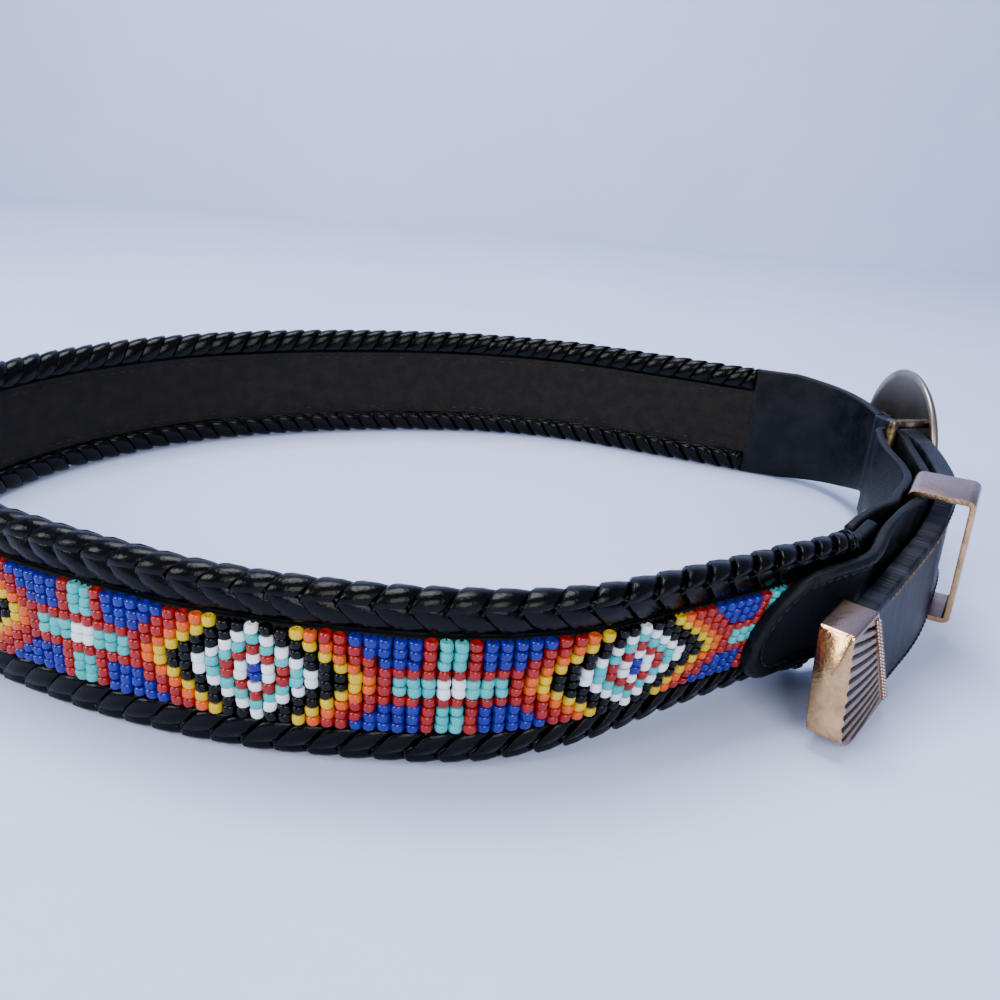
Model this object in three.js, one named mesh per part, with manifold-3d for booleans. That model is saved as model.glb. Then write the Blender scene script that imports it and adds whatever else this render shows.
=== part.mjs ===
import * as THREE from 'three';
import { mergeVertices } from 'three/addons/utils/BufferGeometryUtils.js';
import Module from 'manifold-3d';

// Beaded belt with laced edges, fastened by a plate buckle, standing on its lower edge.
// Millimetres, +Z up, the beaded front towards -Y, the buckle at +X.

const wasm = await Module();
wasm.setup();

// Belt band
const BELT_WIDTH = 38;
const LOOP_LENGTH = 270;
const LOOP_DEPTH = 200;
const CORE_THICK = 3;
const CORE_INSET = 3;
const FIT_GAP = 0.3;
const LAYER_GAP = 0.7;

// Laced edges
const BRAID_COVER = 8.6;
const BRAID_FRONT = 2.1;
const BRAID_BACK = 1.9;
const BRAID_FOOT = 3.2;

// Beadwork
const BEAD_PANEL_THICK = 1.7;
const PANEL_SETBACK = 6;

// Straps
const STRAP_WIDTH = 25;
const STRAP_THICK = 2.2;
const TAIL_THICK = 4.4;
const NOSE_LENGTH = 27;
const NOSE_HEIGHT = 28;
const NOSE_ROUND = 11;
const NOSE_BLUNT = 0.34;
const NOSE_DROP = 2.2;
const OVERLAY_LIFT = 1.9;
const STRAP_LIFT = 3;
const FLAP_LAP = 4;

// Tip
const TIP_HEIGHT = 25.4;
const TIP_THICK = 7.4;
const TIP_LENGTH = 21;
const TIP_WALL = 0.9;
const TIP_POCKET = 10;
const TIP_SLANT = 5.8;
const TIP_RAKE = 3.4;
const TIP_CORNER = 4.5;
const TIP_CORNER_RUN = 7;

// Keeper
const KEEPER_SLACK = 3.8;
const KEEPER_PLAY = 1.5;
const KEEPER_BAND = 11;
const KEEPER_WALL = 1.3;
const KEEPER_CORNER = 2;
const KEEPER_SLOPE = 9;

// Buckle
const PLATE_LENGTH = 54;
const PLATE_HEIGHT = 51;
const PLATE_THICK = 2.2;
const PLATE_DOME = 3;
const PLATE_CLEAR = 2.6;
const BAR_SETBACK = 5.5;
const BAR_RADIUS = 1.7;
const ARM_THICK = 2.6;

// Snap
const SNAP_RADIUS = 4.4;
const SNAP_THICK = 1.6;
const SNAP_LIFT = 6;

// Facets
const RING_STEP = 11;
const RING_TURN = 10;
const RING_TWIST = 0.8;
const FINE_STEP = 0.5;

const CORE_HALF = CORE_THICK / 2;
const BELT_HALF = BELT_WIDTH / 2;
const STRAP_HALF = STRAP_WIDTH / 2;
const FACE = CORE_HALF + FIT_GAP;

// Centre line of the band, clockwise from above. Columns: x as a share of LOOP_LENGTH,
// y as a share of LOOP_DEPTH, centre height as a share of BELT_WIDTH, outward lean in degrees.
const FRONT_RUN = [
  [0.348, -0.267, 0.566, 6],
  [0.322, -0.2925, 0.517, 11],
  [0.283, -0.323, 0.522, 15],
  [0.239, -0.364, 0.524, 14],
  [0.184, -0.415, 0.53, 13],
  [0.1185, -0.468, 0.517, 10],
  [0.052, -0.493, 0.5, 6],
  [-0.022, -0.5, 0.5, 5],
  [-0.119, -0.49, 0.5, 3],
  [-0.211, -0.457, 0.5, 0],
  [-0.296, -0.41, 0.5, 0],
  [-0.374, -0.35, 0.5, 3],
];
const BACK_RUN = [
  [-0.444, -0.26, 0.5, 0],
  [-0.489, -0.13, 0.5, 0],
  [-0.485, 0.02, 0.5, 0],
  [-0.437, 0.175, 0.5, 0],
  [-0.348, 0.313, 0.5, 0],
  [-0.237, 0.405, 0.5, 0],
  [-0.119, 0.465, 0.5, 0],
  [0.007, 0.5, 0.5, 0],
  [0.137, 0.495, 0.5, 0],
  [0.263, 0.445, 0.5, 0],
  [0.378, 0.392, 0.5, 0],
];
const TAIL_RUN = [
  [0.427, 0.366, 0.51, 0],
  [0.462, 0.326, 0.525, 0],
  [0.479, 0.2625, 0.56, 0],
  [0.48, 0.185, 0.62, 0],
  [0.481, 0.105, 0.67, 0],
  [0.479, 0.025, 0.684, 0],
  [0.47, -0.0575, 0.684, -1],
  [0.458, -0.1275, 0.665, -2],
  [0.438, -0.1835, 0.615, -2],
  [0.41, -0.245, 0.525, -4],
  [0.361, -0.3255, 0.42, -6],
  [0.296, -0.435, 0.334, -7],
];
// Places on that line, counted in stations
const CORE_START = 0;
const LACED_START = 1;
const LACED_END = FRONT_RUN.length + BACK_RUN.length - 1;
const CORE_END = LACED_END + 4;
const KEEPER_PLACE = LACED_END + 9;

// Free part of the buckle strap, on both sides of the bar. Same columns as the band.
const FLAP_RUN = [
  [0.364, -0.2335, 0.684, -4],
  [0.384, -0.212, 0.684, -1],
];
const BULGE_RUN = [
  [0.427, -0.09, 0.684, 1],
  [0.43, -0.03, 0.684, 0],
  [0.436, 0.0225, 0.684, 0],
];
const STRAP_RUN = [[0.456, -0.015, 0.684, 0]];
const RETURN_RUN = [
  [0.403, -0.2155, 0.684, -2],
  [0.379, -0.2505, 0.68, 1],
];
const BAR_PLACE = [0.454, 0.0575, 0.684];
const WRAP_TURNS = [190, 145, 100, 55, 10];
// Stations of the strap that lie on the band, and the snap's place among its stations
const OVERLAY_STATIONS = 5;
const SNAP_PLACE = 2.2;

const BEAD_MATERIAL = { color: 0x2a3cae, roughness: 0.3, metalness: 0 };
const LEATHER_MATERIAL = { color: 0x17181c, roughness: 0.55, metalness: 0 };
const LACE_MATERIAL = { color: 0x0d0d10, roughness: 0.35, metalness: 0 };
const METAL_MATERIAL = { color: 0x9c8478, roughness: 0.35, metalness: 1 };
const BRASS_MATERIAL = { color: 0x9a8450, roughness: 0.4, metalness: 1 };

function station([along, depth, rise, lean]) {
  return { x: along * LOOP_LENGTH, y: depth * LOOP_DEPTH, z: rise * BELT_WIDTH, lean };
}

// A course is a centre line that pieces are swept along. at(s) gives the place, the outward
// direction and the lean, s millimetres from its start.
function layCourse(stations) {
  const spans = stations.length - 1;
  const perSpan = 40;
  const points = stations.map((q) => new THREE.Vector3(q.x, q.y, q.z));
  const curve = new THREE.CatmullRomCurve3(points, false, 'centripetal');
  curve.arcLengthDivisions = spans * perSpan;
  const lengths = curve.getLengths();
  const total = lengths[lengths.length - 1];

  function at(s) {
    const t = curve.getUtoTmapping(THREE.MathUtils.clamp(s / total, 0, 1));
    const place = curve.getPoint(t);
    const way = curve.getTangent(t);
    const span = Math.min(Math.floor(t * spans), spans - 1);
    const lean = THREE.MathUtils.lerp(stations[span].lean, stations[span + 1].lean, t * spans - span);
    const outward = new THREE.Vector3(-way.y, way.x, 0).normalize();
    return { place, outward, lean: THREE.MathUtils.degToRad(lean), heading: Math.atan2(way.y, way.x) };
  }

  // A point n outward and z up the leaning face; level faces stay level
  function point(s, n, z) {
    const here = at(s);
    const offset = n + Math.sin(here.lean) * z;
    const rise = new THREE.Vector3(0, 0, Math.cos(here.lean) * z);
    return here.place.clone().addScaledVector(here.outward, offset).add(rise);
  }

  const rings = [];
  let gone = 0;
  let turned = 0;
  let twisted = 0;
  for (let s = FINE_STEP; s < total; s += FINE_STEP) {
    const here = at(s);
    const before = at(s - FINE_STEP);
    const turn = here.heading - before.heading;
    turned += Math.abs(Math.atan2(Math.sin(turn), Math.cos(turn)));
    twisted += Math.abs(here.lean - before.lean);
    gone += FINE_STEP;
    const bent = turned >= THREE.MathUtils.degToRad(RING_TURN);
    if (gone >= RING_STEP || bent || twisted >= THREE.MathUtils.degToRad(RING_TWIST)) {
      rings.push(s);
      gone = 0;
      turned = 0;
      twisted = 0;
    }
  }
  const reach = (index) => lengths[Math.round(index * perSpan)];
  return { at, point, rings, total, reach };
}

// Fixes rings where sections change, so that all pieces on a course share the same facets
function fixRings(course, landmarks) {
  const clear = (s) => landmarks.every((mark) => Math.abs(mark - s) > 3 * FINE_STEP);
  course.rings = [...landmarks, ...course.rings.filter(clear)].sort((a, b) => a - b);
}

function pace(course, from, to) {
  return [from, ...course.rings.filter((s) => s > from && s < to), to];
}

// One closed skin through rings of equal point count, with both ends capped
function loft(rings, outline) {
  const count = outline.length;
  const positions = rings.flat().flatMap((p) => [p.x, p.y, p.z]);
  const faces = [];
  for (let r = 0; r + 1 < rings.length; r += 1) {
    for (let i = 0; i < count; i += 1) {
      const a = r * count + i;
      const b = r * count + ((i + 1) % count);
      faces.push([a, b, b + count], [a, b + count, a + count]);
    }
  }
  const cap = THREE.ShapeUtils.triangulateShape(outline.map(([n, z]) => new THREE.Vector2(n, z)), []);
  const last = (rings.length - 1) * count;
  cap.forEach(([a, b, c]) => {
    faces.push([a, c, b], [last + a, last + b, last + c]);
  });
  return closedGeometry(positions, faces);
}

// Faces are turned outwards by the sign of the enclosed volume
function closedGeometry(positions, faces) {
  const corner = (i) => new THREE.Vector3().fromArray(positions, i * 3);
  const volume = faces.reduce((sum, [a, b, c]) => sum + corner(a).dot(corner(b).cross(corner(c))), 0);
  const index = faces.flatMap(([a, b, c]) => (volume > 0 ? [a, b, c] : [a, c, b]));
  const geometry = new THREE.BufferGeometry();
  geometry.setAttribute('position', new THREE.Float32BufferAttribute(positions, 3));
  geometry.setIndex(index);
  return geometry;
}

function sweep(course, marks, sectionAt) {
  const rings = marks.map((s) => sectionAt(s).map(([n, z]) => course.point(s, n, z)));
  return loft(rings, sectionAt(marks[0]));
}

// Eight-sided slab section between two faces and two edges, its corners eased
function slab(inner, outer, low, high) {
  const ease = Math.min(0.25 * (outer - inner), 0.25 * (high - low));
  return [
    [inner + ease, low],
    [outer - ease, low],
    [outer, low + ease],
    [outer, high - ease],
    [outer - ease, high],
    [inner + ease, high],
    [inner, high - ease],
    [inner, low + ease],
  ];
}

// Braid wrapped over one edge of the core: flat underneath, round outside, slotted for the core.
// side is 1 for the upper edge and -1 for the lower one.
function braidSection(side) {
  const rim = BELT_HALF;
  const foot = BRAID_FOOT / 2;
  const seat = BELT_HALF - CORE_INSET + FIT_GAP;
  const hem = BELT_HALF - BRAID_COVER;
  const front = FACE + BRAID_FRONT;
  const back = -FACE - BRAID_BACK;
  const outline = [
    [foot, rim],
    [front - 0.6, rim - 1.7],
    [front, rim - BRAID_COVER * 0.5],
    [front - 0.5, hem + 0.9],
    [FACE, hem],
    [FACE, seat],
    [-FACE, seat],
    [-FACE, hem + 0.6],
    [back + 0.4, hem + 1.4],
    [back, rim - BRAID_COVER * 0.5],
    [back + 0.6, rim - 1.7],
    [-foot, rim],
  ];
  const turned = outline.map(([n, z]) => [n, side * z]);
  return side > 0 ? turned.reverse() : turned;
}

const blend = THREE.MathUtils.lerp;
const share = (s, from, to) => THREE.MathUtils.clamp((s - from) / (to - from), 0, 1);

const band = layCourse([...FRONT_RUN, ...BACK_RUN, ...TAIL_RUN].map(station));
const lacedFrom = band.reach(LACED_START);
const lacedTo = band.reach(LACED_END);
const coreTo = band.reach(CORE_END);
const tailTo = band.total;
const bareFrom = lacedTo + FIT_GAP;
const narrowFrom = lacedTo + STRAP_HALF;
const panelFrom = lacedFrom + PANEL_SETBACK;
const panelTo = lacedTo - PANEL_SETBACK;
const tailFrom = lacedTo - NOSE_LENGTH;
const tipFrom = tailTo - TIP_LENGTH;
const tailEnd = tipFrom + TIP_POCKET - FIT_GAP;
const NOSE_STOPS = [0.3, 1, 2.2, 4, 6.5, NOSE_ROUND];

fixRings(band, [
  lacedFrom,
  panelFrom,
  ...NOSE_STOPS.map((d) => tailFrom + d),
  panelTo,
  lacedTo,
  bareFrom,
  bareFrom + FIT_GAP,
  narrowFrom,
  coreTo,
  coreTo + FIT_GAP,
  tipFrom - TIP_SLANT,
  tipFrom,
]);

// Leather core: inset under the braids, full width past them, narrowing at the back end
function coreSection(s) {
  const laced = BELT_HALF - CORE_INSET;
  const bare = BELT_HALF - FIT_GAP;
  const narrow = STRAP_HALF + FIT_GAP;
  let half = laced;
  if (s > bareFrom) {
    half = blend(bare, narrow, share(s, narrowFrom, coreTo));
  }
  return slab(-CORE_HALF, CORE_HALF, -half, half);
}

function beltBody() {
  return sweep(band, pace(band, band.reach(CORE_START), coreTo), coreSection);
}

function beadPanel() {
  const half = BELT_HALF - BRAID_COVER - FIT_GAP;
  const section = slab(FACE, FACE + BEAD_PANEL_THICK, -half, half);
  return sweep(band, pace(band, panelFrom, panelTo), () => section);
}

function edgeBraid(side) {
  return sweep(band, pace(band, lacedFrom, lacedTo), () => braidSection(side));
}

// Half height of a strap end that is rounded over NOSE_ROUND
function noseHalf(distance, full) {
  const left = 1 - Math.min(distance / NOSE_ROUND, 1);
  return full * Math.max(Math.sqrt(1 - left * left), NOSE_BLUNT);
}

// Height of the overlay above the band's beads, clear of the braid's outer face
const OVERLAY = FACE + BRAID_FRONT + FIT_GAP;
const OVERLAY_CENTRE = OVERLAY + STRAP_THICK / 2;

// A place beside the band, n outward and at the height z; side is -1 where a strap runs back
function beside(s, n, z, side) {
  const here = band.at(s);
  const offset = n + Math.tan(here.lean) * (z - here.place.z);
  const place = here.place.clone().addScaledVector(here.outward, offset);
  return { x: place.x, y: place.y, z, lean: side * THREE.MathUtils.radToDeg(here.lean) };
}

const barCentre = station([...BAR_PLACE, 0]);
const wrapRadius = BAR_RADIUS + FIT_GAP + STRAP_THICK / 2;
const strapRise = barCentre.z;

// Layers at the keeper, from outside to inside: tail, strap, the keeper's inner wall, flap
const keeperAt = band.reach(KEEPER_PLACE);
const strapLayer = -(TAIL_THICK + STRAP_THICK) / 2 - LAYER_GAP;
const keeperInside = strapLayer - STRAP_THICK / 2 - LAYER_GAP;
const flapLayer = keeperInside - KEEPER_WALL - LAYER_GAP - STRAP_THICK / 2;

// The buckle strap starts as a flap inside the core's end, passes the keeper, goes round the
// bar, comes back through the keeper and ends as an overlay on the laced band.
function strapStations() {
  const coreLayer = CORE_HALF + LAYER_GAP + STRAP_THICK / 2;
  const onCore = (d, n, side) => beside(d, n, band.at(d).place.z + STRAP_LIFT, side);
  const byKeeper = (layer, side) => [-side, side].map((end) => {
    return beside(keeperAt + end * KEEPER_BAND * 0.6, layer, strapRise, side);
  });
  const flap = [FLAP_LAP, 0].map((d) => onCore(band.reach(CORE_START) + d, -coreLayer, -1));
  const wrap = WRAP_TURNS.map((turn) => {
    const angle = THREE.MathUtils.degToRad(turn);
    const x = barCentre.x + wrapRadius * Math.cos(angle);
    const y = barCentre.y + wrapRadius * Math.sin(angle);
    return { x, y, z: strapRise, lean: 0 };
  });
  const overlay = [0, 0.33, 0.66, 1].map((part) => {
    const s = lacedFrom + part * NOSE_LENGTH - FIT_GAP;
    const lift = blend(OVERLAY_LIFT, -NOSE_DROP, part);
    return beside(s, OVERLAY_CENTRE, band.at(s).place.z + lift, 1);
  });
  const inside = [...flap, ...FLAP_RUN.map(station), ...byKeeper(flapLayer, -1)];
  const barSide = [...BULGE_RUN.map(station), ...wrap, ...STRAP_RUN.map(station)];
  const back = [...byKeeper(strapLayer, 1), ...RETURN_RUN.map(station)];
  return [...inside, ...barSide, ...back, onCore(band.reach(CORE_START), coreLayer, 1), ...overlay];
}

const strapLine = strapStations();
const strap = layCourse(strapLine);
const overlayFrom = strap.reach(strapLine.length - OVERLAY_STATIONS);
const snapAt = strap.reach(SNAP_PLACE);

function strapSection(s) {
  const toNose = strap.total - s;
  const half = blend(STRAP_HALF, NOSE_HEIGHT / 2, share(s, overlayFrom, strap.total - NOSE_ROUND));
  const round = noseHalf(toNose, half);
  return slab(-STRAP_THICK / 2, STRAP_THICK / 2, -round, round);
}

function buckleStrap() {
  fixRings(strap, [overlayFrom, ...NOSE_STOPS.map((d) => strap.total - d)]);
  return sweep(strap, pace(strap, 0, strap.total), strapSection);
}

// The tail strap starts as a rounded overlay on the band's back end, steps in to full
// thickness past the core and ends inside the tip.
function tailSection(s) {
  const half = blend(NOSE_HEIGHT / 2, STRAP_HALF, share(s, lacedTo, coreTo));
  const tipHalf = TIP_HEIGHT / 2 - TIP_WALL - FIT_GAP;
  const fitted = blend(half, tipHalf, share(s, tipFrom - TIP_LENGTH, tipFrom - TIP_SLANT));
  const round = noseHalf(s - tailFrom, fitted);
  if (s > coreTo) {
    return slab(-TAIL_THICK / 2, TAIL_THICK / 2, -round, round);
  }
  const inner = blend(OVERLAY, FACE, share(s, bareFrom, narrowFrom));
  return slab(inner, inner + STRAP_THICK, -round, round);
}

function tailStrap() {
  return sweep(band, pace(band, tailFrom, tailEnd), tailSection);
}

// Metal tip: a cap with a pocket for the strap, its mouth slanted, its end raked back at the
// top and its lower corner raised. along is the distance from the middle of its mouth.
function tipRing(along, slant, rake, halfThick, halfHeight, raise) {
  return slab(-halfThick, halfThick, -halfHeight + raise, halfHeight).map(([n, z]) => {
    const mouth = (slant * TIP_SLANT * z) / halfHeight;
    const end = (rake * TIP_RAKE * (1 + z / halfHeight)) / 2;
    return band.point(Math.min(tipFrom + along + mouth - end, tailTo), n, z);
  });
}

function tip() {
  const thick = TIP_THICK / 2;
  const high = TIP_HEIGHT / 2;
  const inThick = TAIL_THICK / 2 + FIT_GAP;
  const inHigh = high - TIP_WALL;
  const corner = TIP_CORNER_RUN / TIP_LENGTH;
  const outer = (reach, width, height, raise) => {
    return tipRing(reach * TIP_LENGTH, 1 - reach, reach, width, height, raise);
  };
  const rings = [
    outer(1, thick - 0.5, high - 0.2, TIP_CORNER),
    outer(1 - 0.08 * corner, thick - 0.15, high, TIP_CORNER * 0.78),
    outer(1 - 0.35 * corner, thick, high, TIP_CORNER * 0.34),
    outer(1 - corner, thick, high, 0),
    outer(0.4, thick, high, 0),
    outer(0, thick, high, 0),
    tipRing(0, 1, 0, inThick, inHigh, 0),
    tipRing(TIP_POCKET, 0, 0, inThick, inHigh, 0),
  ];
  return loft(rings, slab(-thick, thick, -high, high));
}

// Frame at a place on the band: x across and outwards, y up, z along the strap
function keeperFrame() {
  const here = band.at(keeperAt);
  const slope = THREE.MathUtils.degToRad(KEEPER_SLOPE);
  const along = new THREE.Vector3(here.outward.y, -here.outward.x, 0).multiplyScalar(-Math.cos(slope));
  along.z = Math.sin(slope);
  const across = here.outward.clone();
  const up = new THREE.Vector3().crossVectors(along, across);
  const lean = new THREE.Matrix4().makeRotationAxis(along, here.lean);
  across.applyMatrix4(lean);
  up.applyMatrix4(lean);
  const shift = (KEEPER_SLACK + TAIL_THICK / 2 + keeperInside) / 2;
  const rise = (strapRise + here.place.z) / 2;
  const middle = band.point(keeperAt, shift, rise - here.place.z);
  return new THREE.Matrix4().makeBasis(across, up, along).setPosition(middle);
}

function roundedRectangle(width, height, radius, target) {
  const x = width / 2;
  const y = height / 2;
  target.moveTo(-x + radius, -y);
  target.lineTo(x - radius, -y);
  target.absarc(x - radius, -y + radius, radius, -Math.PI / 2, 0, false);
  target.absarc(x - radius, y - radius, radius, 0, Math.PI / 2, false);
  target.absarc(-x + radius, y - radius, radius, Math.PI / 2, Math.PI, false);
  target.absarc(-x + radius, -y + radius, radius, Math.PI, 1.5 * Math.PI, false);
  return target;
}

function merged(source) {
  const geometry = source.clone();
  geometry.deleteAttribute('normal');
  geometry.deleteAttribute('uv');
  return mergeVertices(geometry, 1e-4);
}

function keeper() {
  const inDepth = TAIL_THICK / 2 + KEEPER_SLACK - keeperInside;
  const inHeight = STRAP_WIDTH + strapRise - band.at(keeperAt).place.z + 2 * KEEPER_PLAY;
  const outDepth = inDepth + 2 * KEEPER_WALL;
  const outHeight = inHeight + 2 * KEEPER_WALL;
  const shape = roundedRectangle(outDepth, outHeight, KEEPER_CORNER, new THREE.Shape());
  const corner = KEEPER_CORNER - KEEPER_WALL;
  shape.holes.push(roundedRectangle(inDepth, inHeight, corner, new THREE.Path()));
  const options = { depth: KEEPER_BAND, bevelEnabled: false, curveSegments: 4 };
  const loop = new THREE.ExtrudeGeometry(shape, options);
  loop.translate(0, 0, -KEEPER_BAND / 2);
  return merged(loop).applyMatrix4(keeperFrame());
}

function toManifold(geometry) {
  const flat = merged(geometry);
  const vertProperties = new Float32Array(flat.attributes.position.array);
  const triVerts = new Uint32Array(flat.index.array);
  return new wasm.Manifold(new wasm.Mesh({ numProp: 3, vertProperties, triVerts }));
}

function fromManifold(solid) {
  const mesh = solid.getMesh();
  const geometry = new THREE.BufferGeometry();
  geometry.setAttribute('position', new THREE.Float32BufferAttribute(mesh.vertProperties, 3));
  geometry.setIndex(Array.from(mesh.triVerts));
  return geometry;
}

// Oval plate, domed outward over both directions, clear of the strap that passes behind it
const plateCentre = new THREE.Vector3(
  band.at(coreTo).place.x + FACE + STRAP_THICK + PLATE_CLEAR - PLATE_DOME,
  barCentre.y - BAR_SETBACK + PLATE_LENGTH / 2,
  PLATE_HEIGHT / 2,
);

// A point of the plate: shares of its half length and half height, and the depth outward
function platePoint(along, up, depth) {
  const dome = PLATE_DOME * (1 - along * along - up * up);
  const y = (along * PLATE_LENGTH) / 2;
  return new THREE.Vector3(dome + depth, y, (up * PLATE_HEIGHT) / 2).add(plateCentre);
}

function plateShell() {
  const profile = [
    [0, 0],
    [0.5, 0],
    [0.82, 0],
    [1, 0],
    [1, 0.7],
    [0.96, 1],
    [0.5, 1],
    [0, 1],
  ].map(([radius, depth]) => new THREE.Vector2(radius, depth));
  const shell = new THREE.LatheGeometry(profile, 40);
  const position = shell.attributes.position;
  for (let i = 0; i < position.count; i += 1) {
    const depth = PLATE_THICK * position.getY(i);
    const point = platePoint(position.getX(i), position.getZ(i), depth);
    position.setXYZ(i, point.x, point.y, point.z);
  }
  return outwards(merged(shell));
}

function outwards(geometry) {
  const index = Array.from(geometry.index.array);
  const faces = [];
  for (let i = 0; i < index.length; i += 3) {
    faces.push(index.slice(i, i + 3));
  }
  return closedGeometry(Array.from(geometry.attributes.position.array), faces);
}

// Bale: the strap's bar and the two arms that carry it, soldered to the plate's back
function buckle() {
  const armOffset = STRAP_HALF + LAYER_GAP + ARM_THICK / 2;
  const bar = new THREE.CylinderGeometry(BAR_RADIUS, BAR_RADIUS, 2 * armOffset, 16);
  bar.rotateX(Math.PI / 2);
  bar.translate(barCentre.x, barCentre.y, strapRise);
  let solid = toManifold(plateShell()).add(toManifold(bar));
  const seatUp = armOffset / (PLATE_HEIGHT / 2);
  const seatAlong = -Math.sqrt(1 - seatUp * seatUp) + 0.14;
  const seat = platePoint(seatAlong, seatUp, PLATE_THICK / 2);
  const reach = Math.hypot(seat.x - barCentre.x, seat.y - barCentre.y);
  [1, -1].forEach((side) => {
    const arm = new THREE.BoxGeometry(reach + BAR_RADIUS, 2 * BAR_RADIUS, ARM_THICK);
    arm.translate((reach - BAR_RADIUS) / 2, 0, 0);
    arm.rotateZ(Math.atan2(seat.y - barCentre.y, seat.x - barCentre.x));
    arm.translate(barCentre.x, barCentre.y, strapRise + side * armOffset);
    solid = solid.add(toManifold(arm));
  });
  return fromManifold(solid);
}

// Snap cap on the flap's free face
function snap() {
  const cap = new THREE.CylinderGeometry(SNAP_RADIUS * 0.86, SNAP_RADIUS, SNAP_THICK, 20);
  const here = strap.at(snapAt);
  const up = new THREE.Vector3(0, 0, Math.cos(here.lean));
  up.addScaledVector(here.outward, Math.sin(here.lean));
  const along = new THREE.Vector3(-here.outward.y, here.outward.x, 0);
  const outward = new THREE.Vector3().crossVectors(up, along).negate();
  const centre = strap.point(snapAt, STRAP_THICK / 2 + LAYER_GAP + SNAP_THICK / 2, SNAP_LIFT);
  along.crossVectors(outward, up);
  return merged(cap).applyMatrix4(new THREE.Matrix4().makeBasis(along, outward, up).setPosition(centre));
}

const belt = new THREE.Group();
belt.name = 'beaded_belt';

function addPiece(name, geometry, look) {
  const mesh = new THREE.Mesh(geometry, new THREE.MeshStandardMaterial(look));
  mesh.name = name;
  geometry.computeVertexNormals();
  belt.add(mesh);
}

addPiece('belt_body', beltBody(), LEATHER_MATERIAL);
addPiece('bead_panel', beadPanel(), BEAD_MATERIAL);
addPiece('upper_edge_braid', edgeBraid(1), LACE_MATERIAL);
addPiece('lower_edge_braid', edgeBraid(-1), LACE_MATERIAL);
addPiece('buckle_strap', buckleStrap(), LEATHER_MATERIAL);
addPiece('tail_strap', tailStrap(), LEATHER_MATERIAL);
addPiece('tip', tip(), METAL_MATERIAL);
addPiece('keeper', keeper(), METAL_MATERIAL);
addPiece('buckle_plate', buckle(), METAL_MATERIAL);
addPiece('strap_snap', snap(), BRASS_MATERIAL);

// The origin is the middle of the bounding box's bottom
const box = new THREE.Box3().setFromObject(belt);
const middle = box.getCenter(new THREE.Vector3());
belt.children.forEach((mesh) => mesh.geometry.translate(-middle.x, -middle.y, -box.min.z));

export default belt;
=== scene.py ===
# %% [markdown]
# # A beaded leather belt
# This notebook dresses a belt that stands on its lower edge: a loop of leather with seed beads on
# its face, laced edges, two straps, a metal tip, a keeper loop and an oval plate buckle. The solids
# are loaded first and stay where they are. Every piece made here is laid over them.

# %% Load the solids
import bpy
import bmesh
import math
import numpy as np
from mathutils import Matrix, Vector


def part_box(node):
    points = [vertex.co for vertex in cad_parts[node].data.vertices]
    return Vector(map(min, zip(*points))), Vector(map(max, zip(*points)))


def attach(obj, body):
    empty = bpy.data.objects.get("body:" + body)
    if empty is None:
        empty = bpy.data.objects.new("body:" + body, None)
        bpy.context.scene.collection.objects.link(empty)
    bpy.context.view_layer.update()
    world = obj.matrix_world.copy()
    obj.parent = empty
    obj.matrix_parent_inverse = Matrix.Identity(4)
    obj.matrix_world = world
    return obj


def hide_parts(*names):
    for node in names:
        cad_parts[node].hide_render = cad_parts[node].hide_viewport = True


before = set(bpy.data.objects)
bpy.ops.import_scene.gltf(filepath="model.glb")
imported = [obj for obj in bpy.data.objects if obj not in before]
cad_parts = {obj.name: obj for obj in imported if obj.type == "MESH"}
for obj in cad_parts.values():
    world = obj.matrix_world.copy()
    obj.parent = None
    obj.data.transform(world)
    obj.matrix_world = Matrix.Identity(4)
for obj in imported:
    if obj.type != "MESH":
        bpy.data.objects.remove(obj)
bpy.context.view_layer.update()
bpy.ops.object.select_all(action="DESELECT")
print("solids:", len(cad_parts))

# %% [markdown]
# ## Sizes
# A belt maker measures in millimetres, and Blender works in metres, so `MM` turns one into the
# other. The values are those of the solids: the belt is 38 mm wide and its straps are 25 mm.

# %% Name the sizes
MM = 0.001
BELT_WIDTH = 38.0
LOOP_LENGTH, LOOP_DEPTH = 270.0, 200.0
SHIFT = np.array([-0.698, 0.333, 0.051])
CORE_HALF, FACE, RIM = 1.5, 1.8, 19.0
BRAID_FRONT = 2.1
STRAP_HALF, STRAP_THICK, TAIL_THICK = 12.5, 2.2, 4.4
FIT_GAP, LAYER_GAP = 0.3, 0.7
STRAP_LIFT, OVERLAY_LIFT, NOSE_DROP = 3.0, 1.9, 2.2
BAR_RADIUS, KEEPER_WALL, KEEPER_REACH = 1.7, 1.3, 6.6
NOSE_LENGTH, NOSE_HEIGHT, NOSE_ROUND = 27.0, 28.0, 11.0
OVERLAY = FACE + BRAID_FRONT + FIT_GAP
TIP_LENGTH, TIP_HEIGHT, TIP_THICK, TIP_POCKET = 21.0, 25.4, 7.4, 10.0
TIP_SLANT, TIP_RAKE, TIP_CORNER, TIP_CORNER_RUN = 5.8, 3.4, 4.5, 7.0
dice = np.random.default_rng(38)

# %% [markdown]
# ## The line of the belt
# The belt is one long band, so its pieces are laid along one line that runs through the middle of
# the leather. The line is a smooth curve through a few stations. Each has its share of the loop's
# length and depth, its height as a share of the belt's width, and how far the band leans outward.

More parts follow.
